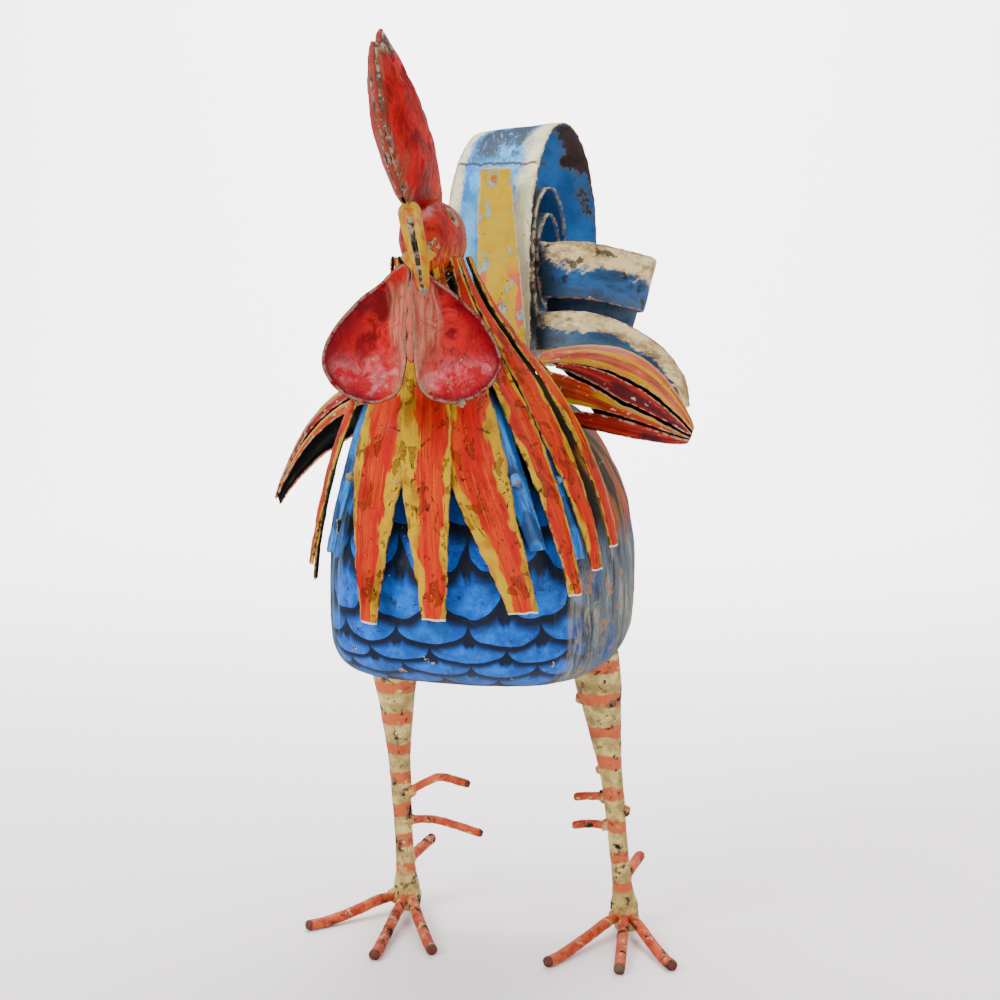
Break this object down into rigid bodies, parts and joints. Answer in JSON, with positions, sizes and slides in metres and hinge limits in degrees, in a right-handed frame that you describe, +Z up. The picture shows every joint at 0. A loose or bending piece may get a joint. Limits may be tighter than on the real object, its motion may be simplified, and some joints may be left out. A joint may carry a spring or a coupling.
{
  "type": "rooster figurine",
  "caption": "Standing rooster of cut and welded sheet metal in worn paint, with a tall comb, drop wattles, strip hackles, small wings, a wound tail strip and bar feet",
  "frame": {"origin": "middle of the bounding box in X and Y, at the level that the figure stands on in Z", "axes": "+Z up, -Y the way the bird faces, +X to the bird's left"},
  "size_m": [0.2266, 0.3516, 0.4638],
  "materials": {
    "blue": "worn hand-brushed gloss paint",
    "sky": "worn hand-brushed gloss paint",
    "red": "worn hand-brushed gloss paint",
    "crimson": "worn high-gloss paint",
    "yellow": "worn hand-brushed gloss paint",
    "cream": "worn satin paint",
    "orange": "worn satin paint"
  },
  "bodies": {
    "root": {"body": "blue", "neck": "orange", "head": "red", "comb_left_half": "crimson", "comb_right_half": "crimson", "beak_upper": "yellow", "beak_lower": "yellow", "wattle_left": "crimson", "wattle_right": "crimson", "hackle_breast_right": "red", "hackle_breast_middle": "red", "hackle_breast_left": "red", "hackle_shoulder_left_front": "red", "hackle_shoulder_left_middle": "red", "hackle_shoulder_left_rear": "red", "hackle_shoulder_right_front": "red", "hackle_shoulder_right_rear": "red", "hackle_under_right": "blue", "hackle_under_left_front": "blue", "hackle_under_left_rear": "blue", "hackle_back_1": "orange", "hackle_back_2": "orange", "hackle_back_3": "orange", "hackle_back_4": "orange", "hackle_back_5": "orange", "hackle_back_6": "orange", "wing_left_top": "red", "wing_left_upper": "red", "wing_left_front": "red", "wing_left_lower": "red", "wing_left_back": "red", "wing_right_top": "red", "wing_right_upper": "red", "wing_right_front": "red", "wing_right_back": "red", "tail_scroll": "sky", "tail_stem": "yellow", "tail_curl_upper": "sky", "tail_curl_lower": "sky", "tail_sickle_left": "sky", "tail_sickle_right": "sky", "leg_left": "cream", "leg_right": "cream", "toe_left_inner": "orange", "toe_left_middle": "orange", "toe_left_outer": "orange", "toe_left_rear": "orange", "toe_right_inner": "orange", "toe_right_middle": "orange", "toe_right_outer": "orange", "toe_right_rear": "orange", "spur_left_upper": "orange", "spur_left_lower": "orange", "spur_right_upper": "orange", "spur_right_lower": "orange"}
  },
  "joints": []
}
